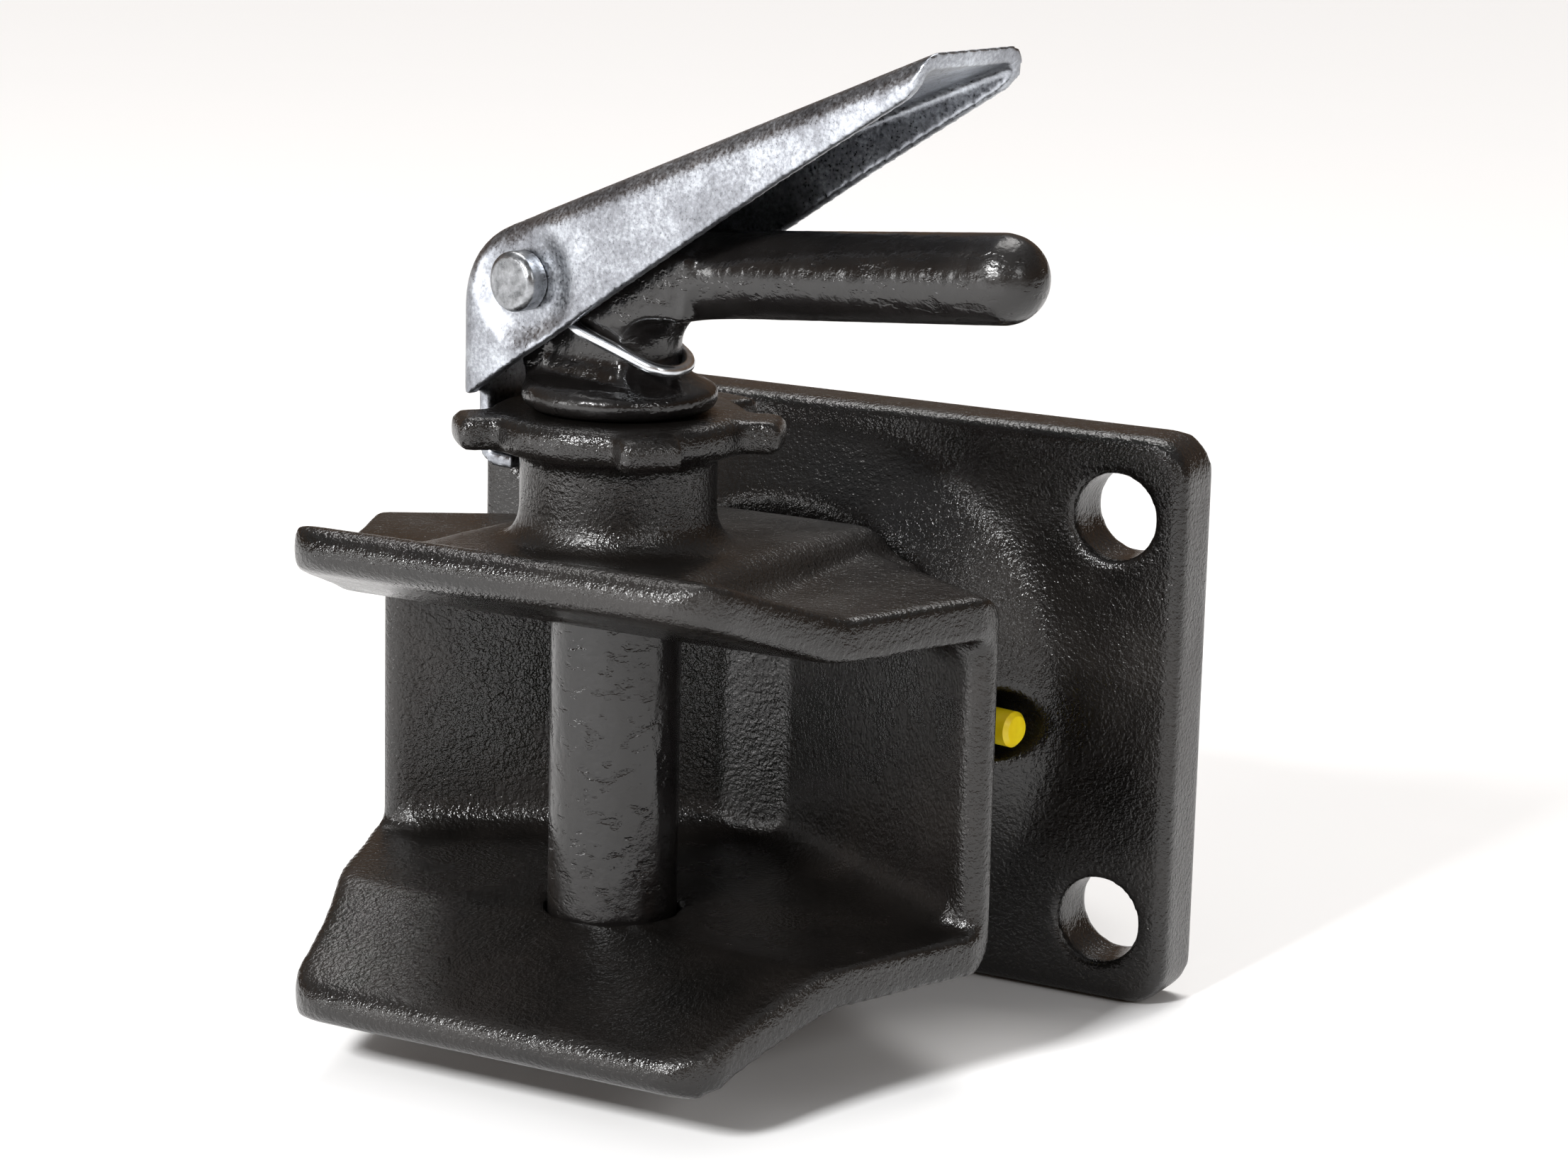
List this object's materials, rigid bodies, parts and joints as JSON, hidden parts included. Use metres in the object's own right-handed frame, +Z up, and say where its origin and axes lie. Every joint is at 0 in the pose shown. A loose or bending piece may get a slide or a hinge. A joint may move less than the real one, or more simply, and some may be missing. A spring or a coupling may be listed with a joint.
{
  "type": "trailer coupling",
  "caption": "Swivelling drawbar coupling: a flared jaw on a greased mounting plate, with a hand lifted pin locked by a spring lever",
  "frame": {"origin": "centre of the bolt pattern on the mounting plate's rear face", "axes": "+Z up, along the coupling pin; the mouth faces -Y, and +Y points to the vehicle along the swivel shaft"},
  "size_m": [0.2131, 0.2345, 0.2405],
  "materials": {
    "black_cast": "gloss black paint over rough casting",
    "bronze": "dull bearing bronze",
    "zinc": "zinc plated, matt",
    "yellow_cap": "soft yellow plastic",
    "seal": "black rubber",
    "dark_steel": "oiled spring steel",
    "bright_steel": "bright wire"
  },
  "bodies": {
    "mount": {"mounting_plate": "black_cast", "front_bush": "bronze", "rear_bush": "bronze", "grease_nipple": "zinc", "nipple_ball": "bright_steel", "nipple_spring": "bright_steel"},
    "cap": {"grease_cap": "yellow_cap"},
    "swivel": {"jaw": "black_cast", "face_seal": "seal", "thrust_washer": "zinc", "disc_springs": "dark_steel", "castle_nut": "zinc", "split_pin": "zinc"},
    "pin": {"coupling_pin": "black_cast", "pivot_pin": "zinc", "pivot_washer": "zinc", "latch_spring": "bright_steel"},
    "lever": {"latch_lever": "zinc"}
  },
  "joints": [
    {"name": "jaw_swivel", "type": "hinge", "parent": "mount", "child": "swivel", "pos_m": [0, 0, 0], "axis": [0, 1, 0], "continuous": true},
    {"name": "pin_lift", "type": "slide", "parent": "swivel", "child": "pin", "axis": [0, 0, 1], "range_m": [0, 0.098]},
    {"name": "latch_squeeze", "type": "hinge", "parent": "pin", "child": "lever", "pos_m": [-0.01369, -0.11009, 0.111], "axis": [0.2079, 0.9781, 0], "range_deg": [0, 15], "stiffness_Nm_per_rad": 1.5, "springref_deg": -20.05},
    {"name": "cap_pull", "type": "slide", "parent": "mount", "child": "cap", "axis": [0.9781, -0.2079, 0], "range_m": [0, 0.02]}
  ]
}
